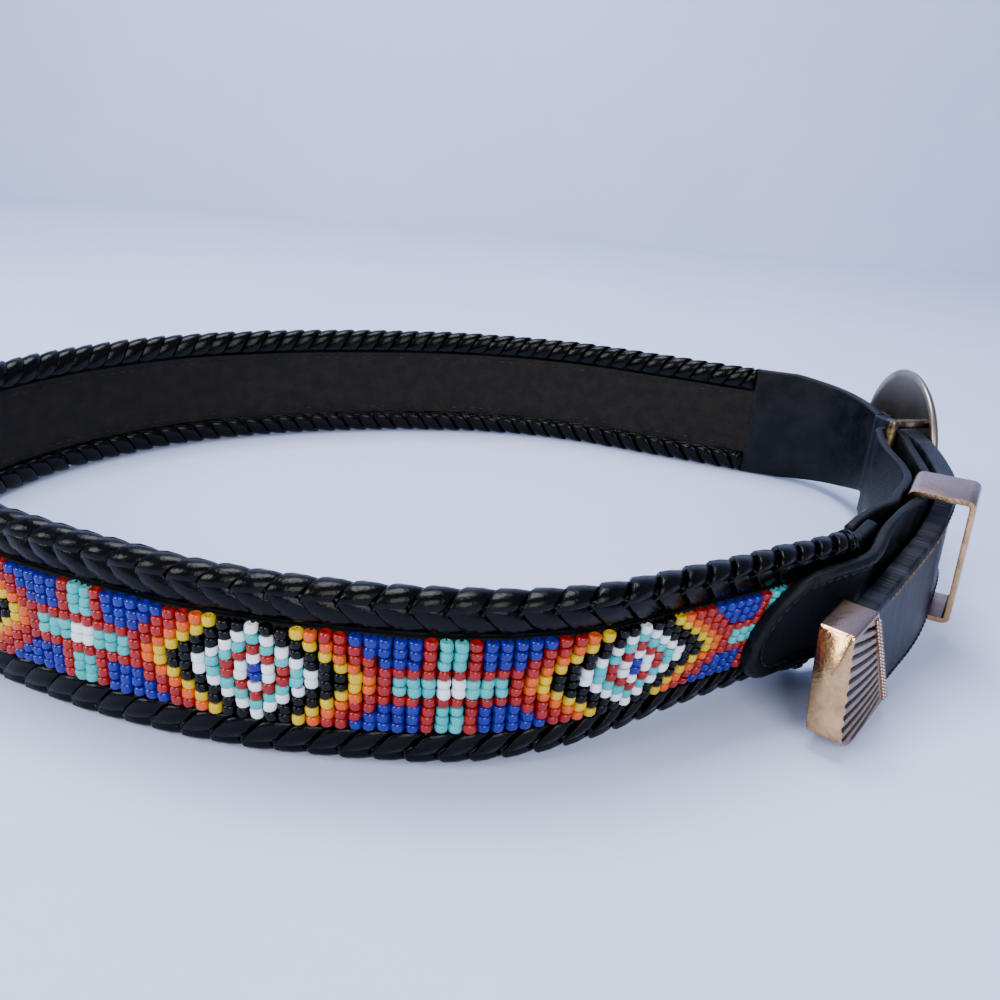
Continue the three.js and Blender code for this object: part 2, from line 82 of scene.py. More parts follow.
# %% Stations of the band and of the buckle strap
FRONT_RUN = [
    (0.348, -0.267, 0.566, 6), (0.322, -0.2925, 0.517, 11), (0.283, -0.323, 0.522, 15),
    (0.239, -0.364, 0.524, 14), (0.184, -0.415, 0.53, 13), (0.1185, -0.468, 0.517, 10),
    (0.052, -0.493, 0.5, 6), (-0.022, -0.5, 0.5, 5), (-0.119, -0.49, 0.5, 3),
    (-0.211, -0.457, 0.5, 0), (-0.296, -0.41, 0.5, 0), (-0.374, -0.35, 0.5, 3),
]
BACK_RUN = [
    (-0.444, -0.26, 0.5, 0), (-0.489, -0.13, 0.5, 0), (-0.485, 0.02, 0.5, 0),
    (-0.437, 0.175, 0.5, 0), (-0.348, 0.313, 0.5, 0), (-0.237, 0.405, 0.5, 0),
    (-0.119, 0.465, 0.5, 0), (0.007, 0.5, 0.5, 0), (0.137, 0.495, 0.5, 0),
    (0.263, 0.445, 0.5, 0), (0.378, 0.392, 0.5, 0),
]
TAIL_RUN = [
    (0.427, 0.366, 0.51, 0), (0.462, 0.326, 0.525, 0), (0.479, 0.2625, 0.56, 0),
    (0.48, 0.185, 0.62, 0), (0.481, 0.105, 0.67, 0), (0.479, 0.025, 0.684, 0),
    (0.47, -0.0575, 0.684, -1), (0.458, -0.1275, 0.665, -2), (0.438, -0.1835, 0.615, -2),
    (0.41, -0.245, 0.525, -4), (0.361, -0.3255, 0.42, -6), (0.296, -0.435, 0.334, -7),
]
FLAP_RUN = [(0.364, -0.2335, 0.684, -4), (0.384, -0.212, 0.684, -1)]
BULGE_RUN = [(0.427, -0.09, 0.684, 1), (0.43, -0.03, 0.684, 0), (0.436, 0.0225, 0.684, 0)]
STRAP_RUN = [(0.456, -0.015, 0.684, 0)]
RETURN_RUN = [(0.403, -0.2155, 0.684, -2), (0.379, -0.2505, 0.68, 1)]
BAR_PLACE = (0.454, 0.0575, 0.684, 0)
WRAP_TURNS = [190, 145, 100, 55, 10]


def station(row):
    """A station's place in millimetres, with its lean in degrees."""
    x, y, rise, lean = row
    return np.array([x * LOOP_LENGTH, y * LOOP_DEPTH, rise * BELT_WIDTH, lean], float)


class Course:
    """A smooth line through stations, measured in millimetres from its start."""

    per_span = 40

    def __init__(self, stations):
        q = np.array(stations, float)
        p = np.vstack([2 * q[0] - q[1], q, 2 * q[-1] - q[-2]])
        places, leans = [], []
        for i in range(len(q) - 1):
            p0, p1, p2, p3 = (p[i + k][:3] for k in range(4))
            d0, d1, d2 = (max(np.linalg.norm(b - a) ** 0.5, 1e-4) for a, b in ((p0, p1), (p1, p2), (p2, p3)))
            t1 = ((p1 - p0) / d0 - (p2 - p0) / (d0 + d1) + (p2 - p1) / d1) * d1
            t2 = ((p2 - p1) / d1 - (p3 - p1) / (d1 + d2) + (p3 - p2) / d2) * d1
            t = np.linspace(0, 1, self.per_span, endpoint=False)[:, None]
            places.append(p1 + t1 * t + (3 * (p2 - p1) - 2 * t1 - t2) * t**2 + (2 * (p1 - p2) + t1 + t2) * t**3)
            leans.append(q[i, 3] + (q[i + 1, 3] - q[i, 3]) * t[:, 0])
        self.places = np.vstack(places + [q[-1:, :3]])
        self.leans = np.radians(np.concatenate(leans + [q[-1:, 3]]))
        steps = np.linalg.norm(np.diff(self.places, axis=0), axis=1)
        self.lengths = np.concatenate([[0], np.cumsum(steps)])
        self.total = self.lengths[-1]
        way = np.gradient(self.places[:, :2], self.lengths, axis=0)
        way /= np.linalg.norm(way, axis=1)[:, None]
        self.outward = np.stack([-way[:, 1], way[:, 0], 0 * way[:, 0]], 1)

    def reach(self, index):
        return self.lengths[int(round(index * self.per_span))]

    def at(self, s):
        """Place, outward direction and lean at s; s may be an array."""
        s = np.asarray(s, float)
        place = np.stack([np.interp(s, self.lengths, self.places[:, k]) for k in range(3)], -1)
        out = np.stack([np.interp(s, self.lengths, self.outward[:, k]) for k in range(3)], -1)
        out /= np.linalg.norm(out, axis=-1)[..., None]
        return place, out, np.interp(s, self.lengths, self.leans)

    def point(self, s, n, z):
        """A point n outward from the line and z up the face, in metres."""
        place, out, lean = self.at(s)
        n, z = np.asarray(n, float), np.asarray(z, float)
        spot = place + out * (n + np.sin(lean) * z)[..., None]
        spot = spot + np.stack([0 * z, 0 * z, np.cos(lean) * z], -1)
        return (spot + SHIFT) * MM


band = Course([station(r) for r in FRONT_RUN + BACK_RUN + TAIL_RUN])
LACED_END = len(FRONT_RUN) + len(BACK_RUN) - 1
laced_from, laced_to = band.reach(1), band.reach(LACED_END)
core_to, keeper_at = band.reach(LACED_END + 4), band.reach(LACED_END + 9)
panel_from, panel_to = laced_from + 6, laced_to - 6
tail_from = laced_to - NOSE_LENGTH
tip_from = band.total - TIP_LENGTH
print("band:", round(band.total), "mm, laced", round(laced_to - laced_from), "mm")


def beside(s, n, z, side):
    """A station beside the band for the buckle strap; side is -1 where the strap runs back."""
    place, out, lean = band.at(s)
    spot = place + out * (n + math.tan(lean) * (z - place[2]))
    return np.array([spot[0], spot[1], z, side * math.degrees(lean)])


def strap_stations():
    bar = station(BAR_PLACE)
    turn_radius = BAR_RADIUS + FIT_GAP + STRAP_THICK / 2
    strap_layer = -(TAIL_THICK + STRAP_THICK) / 2 - LAYER_GAP
    keeper_inside = strap_layer - STRAP_THICK / 2 - LAYER_GAP
    flap_layer = keeper_inside - KEEPER_WALL - LAYER_GAP - STRAP_THICK / 2
    core_layer = CORE_HALF + LAYER_GAP + STRAP_THICK / 2
    stations = [beside(d, -core_layer, band.at(d)[0][2] + STRAP_LIFT, -1) for d in (4.0, 0.0)]
    stations += [station(r) for r in FLAP_RUN]
    stations += [beside(keeper_at + k * KEEPER_REACH, flap_layer, bar[2], -1) for k in (1, -1)]
    stations += [station(r) for r in BULGE_RUN]
    for turn in np.radians(WRAP_TURNS):
        x, y = bar[0] + turn_radius * math.cos(turn), bar[1] + turn_radius * math.sin(turn)
        stations.append(np.array([x, y, bar[2], 0]))
    stations += [station(r) for r in STRAP_RUN]
    stations += [beside(keeper_at + k * KEEPER_REACH, strap_layer, bar[2], 1) for k in (-1, 1)]
    stations += [station(r) for r in RETURN_RUN]
    stations.append(beside(0.0, core_layer, band.at(0.0)[0][2] + STRAP_LIFT, 1))
    for part in (0, 0.33, 0.66, 1):
        s = laced_from + part * NOSE_LENGTH - FIT_GAP
        lift = OVERLAY_LIFT - (NOSE_DROP + OVERLAY_LIFT) * part
        stations.append(beside(s, OVERLAY + STRAP_THICK / 2, band.at(s)[0][2] + lift, 1))
    return stations


strap_line = strap_stations()
strap = Course(strap_line)
overlay_from = strap.reach(len(strap_line) - 5)
print("buckle strap:", round(strap.total), "mm")

# %% [markdown]
# ## Camera, floor and light
# The photograph looks a little down across the belt, so the camera stands close in front of it and
# its picture is turned a few degrees. The light is one large soft lamp above, a second from the
# left, a third from the front and a pale sky. A plain sheet stands behind the belt, as in a studio.

# %% Camera
pitch, roll = math.radians(22.154), math.radians(4.524)
right = Vector((1, 0, 0))
above = Vector((0, math.sin(pitch), math.cos(pitch)))
ahead = Vector((0, math.cos(pitch), -math.sin(pitch)))
camera_right = right * math.cos(roll) + above * math.sin(roll)
camera_up = above * math.cos(roll) - right * math.sin(roll)
bpy.ops.object.camera_add(location=(0.0143, -0.2387, 0.1105))
camera = bpy.context.object
turn = Matrix((camera_right, camera_up, -ahead)).transposed()
camera.rotation_euler = turn.to_euler()
camera.data.sensor_width = 36
camera.data.lens = 33.3
camera.data.clip_start = 0.01
bpy.context.scene.camera = camera

# %% Floor and lamps
bpy.ops.mesh.primitive_plane_add(size=12, location=(0, 0, 0))
floor = bpy.context.object
floor.name = "floor"
bpy.ops.mesh.primitive_plane_add(size=5, location=(0, 0.78, 2.45), rotation=(math.pi / 2, 0, 0))
backdrop = bpy.context.object
backdrop.name = "backdrop"


def soft_lamp(name, place, aim, size, power, colour):
    bpy.ops.object.light_add(type="AREA", location=place)
    lamp = bpy.context.object
    lamp.name = name
    lamp.rotation_euler = (Vector(aim) - Vector(place)).to_track_quat("-Z", "Y").to_euler()
    lamp.data.size = size
    lamp.data.energy = power
    lamp.data.color = colour


soft_lamp("sky_panel", (-0.1, 0.2, 0.95), (0, 0, 0), 0.55, 14, (0.93, 0.96, 1.0))
soft_lamp("left_panel", (-0.75, -0.45, 0.5), (0, 0, 0.02), 0.45, 8, (1.0, 0.98, 0.96))
soft_lamp("front_panel", (0.25, -0.85, 0.45), (0.05, 0, 0.02), 0.6, 8.5, (1.0, 0.99, 0.97))
world = bpy.context.scene.world or bpy.data.worlds.new("world")
bpy.context.scene.world = world
world.use_nodes = True
world.node_tree.nodes["Background"].inputs[0].default_value = (0.62, 0.72, 1.0, 1)
world.node_tree.nodes["Background"].inputs[1].default_value = 0.6

# %% [markdown]
# ## Finishes
# Leather, lacing, glass beads and worn metal all show the same two things: slow patches of wear and
# a fine grain. On the bale the bright patches are painted highlights instead of wear. One shader
# group makes both, and each material uses it with its own scale.

# %% A shader group for wear and grain
aged = bpy.data.node_groups.new("wear_and_grain", "ShaderNodeTree")
INPUTS = {"Vector": "NodeSocketVector", "Patch Scale": "NodeSocketFloat", "Grain Scale": "NodeSocketFloat"}
for name, kind in INPUTS.items():
    aged.interface.new_socket(name, in_out="INPUT", socket_type=kind)
for name in ("Wear", "Grain"):
    aged.interface.new_socket(name, in_out="OUTPUT", socket_type="NodeSocketFloat")
group_in = aged.nodes.new("NodeGroupInput")
group_out = aged.nodes.new("NodeGroupOutput")
patches = aged.nodes.new("ShaderNodeTexNoise")
patches.inputs["Detail"].default_value = 6
patches.inputs["Roughness"].default_value = 0.65
spread = aged.nodes.new("ShaderNodeMapRange")
spread.inputs["From Min"].default_value = 0.42
spread.inputs["From Max"].default_value = 0.72
grain = aged.nodes.new("ShaderNodeTexNoise")
grain.inputs["Detail"].default_value = 5
aged.links.new(group_in.outputs["Vector"], patches.inputs["Vector"])
aged.links.new(group_in.outputs["Patch Scale"], patches.inputs["Scale"])
aged.links.new(group_in.outputs["Vector"], grain.inputs["Vector"])
aged.links.new(group_in.outputs["Grain Scale"], grain.inputs["Scale"])
aged.links.new(patches.outputs["Fac"], spread.inputs["Value"])
aged.links.new(spread.outputs["Result"], group_out.inputs["Wear"])
aged.links.new(grain.outputs["Fac"], group_out.inputs["Grain"])

# %% A helper that builds each material


def finish(
    name, colour, worn_and_highlight, rough, rough_worn, patch, fine, bump,
    metal=0.0, coat=0.0, stretch=(1, 1, 1), uv=False, recess=None, gloss=0.5,
):
    """A material from a base colour to a worn one; on the bale the worn colour is a painted highlight.
    rough and rough_worn are their roughness, patch and fine the scales of wear and grain; recess is the
    colour of what is pressed in: painted shade, with dark oxide as well in the tip's flutes."""
    material = bpy.data.materials.new(name)
    material.use_nodes = True
    nodes, links = material.node_tree.nodes, material.node_tree.links
    shader = nodes["Principled BSDF"]
    shader.inputs["Metallic"].default_value = metal
    shader.inputs["Coat Weight"].default_value = coat
    shader.inputs["Specular IOR Level"].default_value = gloss
    shader.inputs["Coat Roughness"].default_value = 0.12
    coordinates = nodes.new("ShaderNodeTexCoord")
    mapping = nodes.new("ShaderNodeMapping")
    mapping.inputs["Scale"].default_value = stretch
    links.new(coordinates.outputs["UV" if uv else "Object"], mapping.inputs["Vector"])
    age = nodes.new("ShaderNodeGroup")
    age.node_tree = aged
    age.inputs["Patch Scale"].default_value = patch
    age.inputs["Grain Scale"].default_value = fine
    links.new(mapping.outputs["Vector"], age.inputs["Vector"])
    mix = nodes.new("ShaderNodeMix")
    mix.data_type = "RGBA"
    mix.inputs["A"].default_value = (*colour, 1)
    mix.inputs["B"].default_value = (*worn_and_highlight, 1)
    links.new(age.outputs["Wear"], mix.inputs["Factor"])
    result = mix.outputs["Result"]
    if recess is not None:
        depth = nodes.new("ShaderNodeAttribute")
        depth.attribute_name = "recess"
        darker = nodes.new("ShaderNodeMix")
        darker.data_type = "RGBA"
        darker.inputs["B"].default_value = (*recess, 1)
        links.new(result, darker.inputs["A"])
        links.new(depth.outputs["Fac"], darker.inputs["Factor"])
        result = darker.outputs["Result"]
    links.new(result, shader.inputs["Base Color"])
    rub = nodes.new("ShaderNodeMapRange")
    rub.inputs["To Min"].default_value = rough
    rub.inputs["To Max"].default_value = rough_worn
    links.new(age.outputs["Wear"], rub.inputs["Value"])
    links.new(rub.outputs["Result"], shader.inputs["Roughness"])
    relief = nodes.new("ShaderNodeBump")
    relief.inputs["Strength"].default_value = bump
    relief.inputs["Distance"].default_value = 0.0004
    links.new(age.outputs["Grain"], relief.inputs["Height"])
    links.new(relief.outputs["Normal"], shader.inputs["Normal"])
    return material


# %% Materials of the belt
lining = finish(
    "worn_lining", (0.0035, 0.0032, 0.003), (0.017, 0.012, 0.009), 0.55, 0.85, 2.2, 26, 0.6, uv=True, gloss=0.14
)
strap_leather = finish(
    "strap_leather", (0.002, 0.003, 0.004), (0.008, 0.009, 0.012), 0.4, 0.6, 1.2, 18, 0.5, uv=True, gloss=0.12
)
tail_leather = finish(
    "tail_leather", (0.002, 0.003, 0.006), (0.022, 0.026, 0.04), 0.4, 0.58, 1.6, 7, 0.65,
    uv=True, stretch=(2.2, 0.12, 1), gloss=0.16,
)
lace = finish("black_lace", (0.0006, 0.0006, 0.0008), (0.002, 0.002, 0.0025), 0.12, 0.26, 140, 1600, 0.25, gloss=0.12)
thread = finish("dark_thread", (0.006, 0.006, 0.007), (0.03, 0.03, 0.033), 0.6, 0.8, 300, 3000, 0.4, gloss=0.15)
raw_edge = finish("raw_edge", (0.05, 0.034, 0.022), (0.2, 0.14, 0.09), 0.6, 0.8, 500, 2500, 0.4, gloss=0.2)
backing = finish("bead_backing", (0.003, 0.003, 0.003), (0.01, 0.008, 0.009), 0.8, 0.9, 200, 2500, 0.4, gloss=0.1)
bronze = finish(
    "antique_bronze", (0.42, 0.29, 0.235), (0.25, 0.175, 0.14), 0.26, 0.42, 90, 900, 0.12,
    metal=1.0, recess=(0.006, 0.005, 0.005),
)
# A darker copy of the bronze for the tip's fluted side: painted shade, since that face turns from the light above
# while the top keeps the lighter bronze.
painted_shade_bronze = finish(
    "fluted_bronze_in_painted_shade", (0.26, 0.165, 0.11), (0.15, 0.098, 0.068), 0.24, 0.4, 90, 900, 0.12,
    metal=1.0, recess=(0.004, 0.003, 0.003),
)
# Bright rubbed gold for the snap and the tip's end face; on the keeper's near rim it is a painted highlight.
golden = finish("rubbed_gold_and_painted_highlight", (0.62, 0.37, 0.165), (0.3, 0.175, 0.09), 0.14, 0.34, 240, 1300, 0.25, metal=1.0)
# Brass for the bale: its dark base is painted shade behind the plate, and its bright worn patches are painted
# highlights.
brass_painted_shade_and_highlights = finish("brass_painted_shade_and_highlights", (0.05, 0.034, 0.02), (0.42, 0.3, 0.17), 0.3, 0.45, 240, 1200, 0.2, metal=1.0)
nickel = finish(
    "plate_metal", (0.3, 0.25, 0.19), (0.17, 0.135, 0.095), 0.3, 0.48, 60, 700, 0.12,
    metal=1.0, recess=(0.02, 0.018, 0.015),
)
BEADS = {
    "B": ("blue_beads", (0.0, 0.002, 0.16), (0.002, 0.009, 0.25)),
    "R": ("red_beads", (0.21, 0.002, 0.001), (0.3, 0.008, 0.004)),
    "T": ("turquoise_beads", (0.02, 0.33, 0.34), (0.08, 0.43, 0.43)),
    "W": ("white_beads", (0.66, 0.72, 0.76), (0.78, 0.82, 0.85)),
    "K": ("black_beads", (0.0008, 0.0008, 0.001), (0.002, 0.002, 0.003)),
    "Y": ("yellow_beads", (0.5, 0.33, 0.0), (0.6, 0.41, 0.0)),
    "O": ("orange_beads", (0.5, 0.06, 0.0), (0.6, 0.09, 0.0)),
}
bead_finish = {}
for key, (name, colour, worn_and_highlight) in BEADS.items():
    coat, gloss = (0.06, 0.14) if key == "K" else (0.16, 0.3)
    bead_finish[key] = finish(name, colour, worn_and_highlight, 0.12, 0.22, 260, 1200, 0.08, coat=coat, gloss=gloss)
floor_finish = finish("pale_floor", (0.53, 0.6, 0.86), (0.59, 0.66, 0.9), 0.75, 0.85, 3, 300, 0.05, gloss=0.3)
floor.data.materials.append(floor_finish)
backdrop.data.materials.append(floor_finish)
print("materials:", len(bpy.data.materials))

# %% [markdown]
# ## Helpers for long pieces
# An edge or a strap is a section carried along the line of the belt. By hand this would be a curve
# with a bevel, but the section changes on the way and has to stay level, so the rings are computed
# and skinned here. Each skin gets a UV map in centimetres, along and across, for the leather.

# %% Skin rings into one closed mesh


def new_piece(name, verts, faces, material, uv=None, recess=None):
    mesh = bpy.data.meshes.new(name)
    mesh.from_pydata([tuple(v) for v in verts], [], [tuple(f) for f in faces])
    if uv is not None:
        layer = mesh.uv_layers.new(name="UVMap")
        picked = np.empty(len(mesh.loops), np.int32)
        mesh.loops.foreach_get("vertex_index", picked)
        layer.data.foreach_set("uv", np.asarray(uv, float)[picked].ravel())
    if recess is not None:
        mesh.attributes.new("recess", "FLOAT", "POINT").data.foreach_set("value", np.asarray(recess, np.float32))
    piece = bpy.data.objects.new(name, mesh)
    bpy.context.collection.objects.link(piece)
    tidy = bmesh.new()
    tidy.from_mesh(mesh)
    bmesh.ops.recalc_face_normals(tidy, faces=tidy.faces)
    tidy.to_mesh(mesh)
    tidy.free()
    mesh.materials.append(material)
    mesh.shade_smooth()
    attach(piece, "root")
    return piece


def ring_faces(rings, count, start=0, capped=True):
    """Quads between rings of equal count, with both ends capped."""
    faces = []
    for r in range(rings - 1):
        for i in range(count):
            a, b = start + r * count + i, start + r * count + (i + 1) % count
            faces.append((a, b, b + count, a + count))
    if capped:
        faces.append(tuple(range(start + count - 1, start - 1, -1)))
        faces.append(tuple(range(start + (rings - 1) * count, start + rings * count)))
    return faces


def sweep(name, course, marks, section, material):
    """section(s) gives the n and z of each corner, in millimetres."""
    outlines = [np.array(section(s), float) for s in marks]
    verts = np.vstack([course.point(np.full(len(o), s), o[:, 0], o[:, 1]) for s, o in zip(marks, outlines)])
    count = len(outlines[0])
    uv = np.vstack([np.stack([np.full(count, s / 10), (o[:, 1] + o[:, 0]) / 10], 1) for s, o in zip(marks, outlines)])
    return new_piece(name, verts, ring_faces(len(marks), count), material, uv)


def soft_slab(inner, outer, low, high, ease, steps=4):
    """A slab section whose four corners are rounded."""
    ease = min(ease, (outer - inner) / 2.01, (high - low) / 2.01)
    left, right_side, bottom, top = inner + ease, outer - ease, low + ease, high - ease
    corners = [(right_side, bottom, -90), (right_side, top, 0), (left, top, 90), (left, bottom, 180)]
    points = []
    for n, z, start in corners:
        for k in range(steps + 1):
            angle = math.radians(start + 90 * k / steps)
            points.append((n + ease * math.cos(angle), z + ease * math.sin(angle)))
    return points


def mix_to(a, b, s, start, end):
    return a + (b - a) * min(max((s - start) / (end - start), 0), 1)


# %% [markdown]
# ## The leather band
# The band is the belt's core: black outside, worn brown-black inside. It is covered by the lacing
# at its edges, and past the lacing it shows plain and narrows to the width of the strap.

# %% Leather band


wide_from = laced_to - 1.2
UNDER_LACE = 3.0
SLAB_POINTS = 20
INNER_POINTS = range(8, 18)


def band_section(s):
    """Narrow under the lacing, then as wide as the belt, then down to the strap's width."""
    half = RIM - UNDER_LACE
    if s > wide_from:
        half = mix_to(RIM - FIT_GAP, STRAP_HALF + FIT_GAP, s, laced_to + STRAP_HALF, core_to)
    return soft_slab(-CORE_HALF, CORE_HALF, -half, half, 0.8)


step_marks = [wide_from - 0.02, wide_from + 0.02]
marks = np.concatenate([np.arange(0, laced_to - 2, 2.5), step_marks, np.arange(laced_to, core_to, 2.0), [core_to]])
body = sweep("leather_band", band, marks, band_section, lining)
body.data.materials.append(strap_leather)
for face in body.data.polygons:
    ring, corner = divmod(min(face.vertices), SLAB_POINTS)
    bare = not laced_from <= marks[ring] < laced_to
    face.material_index = 1 if bare or corner not in INNER_POINTS else 0
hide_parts("belt_body")

# %% [markdown]
# ## Seed beads
# The face is sewn with glass seed beads in ten rows, their holes across the belt. A diamond in rings
# of colour repeats every 27 columns, with a turquoise cross between two diamonds. One bead is
# modelled from a cylinder, then copied into the pattern, each copy a little different.

# %% One seed bead
bpy.ops.mesh.primitive_cylinder_add(vertices=10, radius=1.27 * MM, depth=1.98 * MM, end_fill_type="NGON")
bead = bpy.context.object
bead.name = "seed_bead"
bpy.ops.object.mode_set(mode="EDIT")
bpy.ops.mesh.select_mode(type="FACE")
bpy.ops.mesh.select_all(action="DESELECT")
bpy.ops.object.mode_set(mode="OBJECT")
for face in bead.data.polygons:
    face.select = abs(face.normal.z) > 0.9
bpy.ops.object.mode_set(mode="EDIT")
bpy.ops.mesh.inset(thickness=0.5 * MM, depth=0)
bpy.ops.mesh.inset(thickness=0.3 * MM, depth=-0.5 * MM)
bpy.ops.mesh.select_mode(type="EDGE")
bpy.ops.mesh.select_all(action="DESELECT")
bpy.ops.object.mode_set(mode="OBJECT")
for edge in bead.data.edges:
    ends = [bead.data.vertices[i].co for i in edge.vertices]
    edge.select = all(math.hypot(p.x, p.y) > 1.2 * MM for p in ends) and abs(ends[0].z - ends[1].z) < 1e-6
bpy.ops.object.mode_set(mode="EDIT")
bpy.ops.mesh.bevel(offset=0.48 * MM, segments=2, profile=0.55)
bpy.ops.object.mode_set(mode="OBJECT")
bead_verts = np.array([v.co for v in bead.data.vertices])
bead_faces = [list(f.vertices) for f in bead.data.polygons]
bpy.data.objects.remove(bead, do_unlink=True)
print("faces on one bead:", len(bead_faces), "width", round(float(np.ptp(bead_verts[:, 0])) * 1000, 2), "mm")

# %% The pattern, from the diamond's middle column outwards, top row to fifth row
CHART = [
    "WTRWB", "KWTRW", "KKWTR", "YKKWT", "OYKKW", "ROYKK", "RROYK",
    "BRROY", "BBRRO", "BBBRR", "BBBRT", "BBBRT", "RRRRT", "TTTRW",
]
COLUMN_PITCH, ROW_PITCH, ROWS, REPEAT = 2.5, 2.0, 10, 27
DIAMOND_X = 0.0398


def bead_colour(column, row):
    place = (column + REPEAT // 2) % REPEAT - REPEAT // 2
    return CHART[abs(place)][min(row, ROWS - 1 - row)]


front = np.linspace(laced_from, band.reach(len(FRONT_RUN) - 1), 4000)
front_x = band.point(front, 0 * front, 0 * front)[:, 0]
diamond_at = front[np.argmin(np.abs(front_x - DIAMOND_X))]

# %% Lay the beads
placed = {key: [] for key in BEADS}
first = math.ceil((panel_from + 1.5 - diamond_at) / COLUMN_PITCH)
last = math.floor((panel_to - 1.5 - diamond_at) / COLUMN_PITCH)
for step in range(first, last + 1):
    for row in range(ROWS):
        s = diamond_at + step * COLUMN_PITCH + dice.normal(0, 0.1)
        z = ((ROWS - 1) / 2 - row) * ROW_PITCH + dice.normal(0, 0.07)
        placed[bead_colour(-step, row)].append((s, z))
for key, spots in placed.items():
    spots = np.array(spots)
    centre = band.point(spots[:, 0], np.full(len(spots), FACE + 1.3), spots[:, 1])
    _, out, lean = band.at(spots[:, 0])
    up = out * np.sin(lean)[:, None] + np.stack([0 * lean, 0 * lean, np.cos(lean)], 1)
    along = np.cross(up, out)
    size = 1 + dice.normal(0, 0.035, (len(spots), 3))
    size[:, 2] *= 1 + dice.normal(0, 0.04, len(spots))
    tilt = dice.normal(0, 0.07, (len(spots), 2))
    up = up + along * tilt[:, :1] + out * tilt[:, 1:]
    axes = [axis * size[:, k : k + 1] for k, axis in enumerate((along, out, up))]
    verts = centre[:, None] + sum(bead_verts[None, :, k : k + 1] * axes[k][:, None] for k in range(3))
    faces = [tuple(i + c * len(bead_verts) for i in f) for c in range(len(spots)) for f in bead_faces]
    new_piece(BEADS[key][0], verts.reshape(-1, 3), faces, bead_finish[key])
print("beads:", sum(len(v) for v in placed.values()))

# %% Thread backing behind the beads
GROUND_HALF, GROUND_THICK = 10.1, 0.8


def ground_section(s):
    return soft_slab(FACE, FACE + GROUND_THICK, -GROUND_HALF, GROUND_HALF, 0.3, 1)


ground = sweep("bead_ground", band, np.arange(panel_from, panel_to, 2.5), ground_section, backing)
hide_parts("bead_panel")

# %% [markdown]
# ## Laced edges
# A flat black lace is wound over each edge in a herringbone. Every stroke starts under the hem on
# one face, leans along the belt, turns over the rim and tucks in under the strokes of the other
# face. One stroke is a ribbon with a crowned section, and it is laid again every 5.9 mm.

# %% The way over the rim
EDGE_WAY = [
    (1.7, 10.3), (3.2, 11.3), (3.75, 14), (3.4, 16.8), (2.1, 18.3), (0, 18.8),
    (-2.0, 18.3), (-3.1, 16.8), (-3.4, 14), (-3.0, 11.8), (-1.7, 10.9),
]
LOBE_PITCH = 5.9
END_ROOM = 6.0
LACE_HALF = 3.1
LACE_SECTION = [(-1, -0.2), (-0.84, 0.16), (0, 0.36), (0.84, 0.22), (1, -0.1), (0, -0.5)]


def edge_way(u):
    """Place and outward normal over the rim; u is 0 at the front hem and 1 at the back hem."""
    way = np.array(EDGE_WAY, float)
    run = np.concatenate([[0], np.cumsum(np.linalg.norm(np.diff(way, axis=0), axis=1))])
    u = np.clip(u, 0, 1) * run[-1]
    spot = np.stack([np.interp(u, run, way[:, k]) for k in (0, 1)], -1)
    ahead_spot = np.stack([np.interp(u + 0.8, run, way[:, k]) for k in (0, 1)], -1)
    back_spot = np.stack([np.interp(u - 0.8, run, way[:, k]) for k in (0, 1)], -1)
    step = ahead_spot - back_spot
    step /= np.linalg.norm(step, axis=-1)[..., None]
    return spot, np.stack([step[..., 1], -step[..., 0]], -1)


def keep_on(s):
    """Crowds the strokes together at the ends of the lacing, where the lace is tied off."""
    past_end = np.maximum(s - laced_to + END_ROOM, 0)
    s = np.where(past_end > 0, laced_to - END_ROOM * np.exp(-past_end / END_ROOM), s)
    past_start = np.maximum(laced_from + END_ROOM - s, 0)
    return np.where(past_start > 0, laced_from + END_ROOM * np.exp(-past_start / END_ROOM), s)


def lace_stroke(s0, side, family):
    """Rings of one stroke. Both families move along the belt as they climb from their own hem;
    the back strokes come over the rim and cover the upper ends of the front strokes."""
    t = np.linspace(0, 1, 13)
    if family > 0:
        u, shift, dive = 0.42 * t, 6.6 * t, 0.7
    else:
        u, shift, dive = 1.0 - 0.8 * t, 9.0 * t, 0.85
    spot, normal = edge_way(u)
    sink = 0.62 + 0.6 * np.clip(1 - t / 0.1, 0, 1) + 1.5 * np.clip((t - dive) / (1 - dive), 0, 1) ** 1.2
    sink = sink - 0.3 * (family < 0) * np.clip((t - 0.45) / 0.2, 0, 1) + dice.normal(0, 0.05)
    shift = shift + dice.normal(0, 0.12)
    width = LACE_HALF * (0.8 + 0.2 * np.sin(np.pi * np.clip(t, 0.1, 0.9)))
    rings = []
    for across, rise in LACE_SECTION:
        lift = rise - sink + 0.34 * across
        n = spot[:, 0] + normal[:, 0] * lift
        z = side * (spot[:, 1] + normal[:, 1] * lift)
        rings.append(band.point(keep_on(s0 + shift + across * width), n, z))
    return np.stack(rings, 1)


def bed_section(side):
    """The rolled hem under the strokes."""
    spot, normal = edge_way(np.linspace(0, 1, 22))
    outer = spot - normal * 1.25
    outer[0], outer[-1] = (FACE - 0.1, 10.6), (-FACE + 0.1, 11.1)
    inner = np.array([(-FACE + 0.1, 15.5), (FACE - 0.1, 15.5)])
    ring = np.vstack([outer, inner])
    ring[:, 1] *= side
    return ring


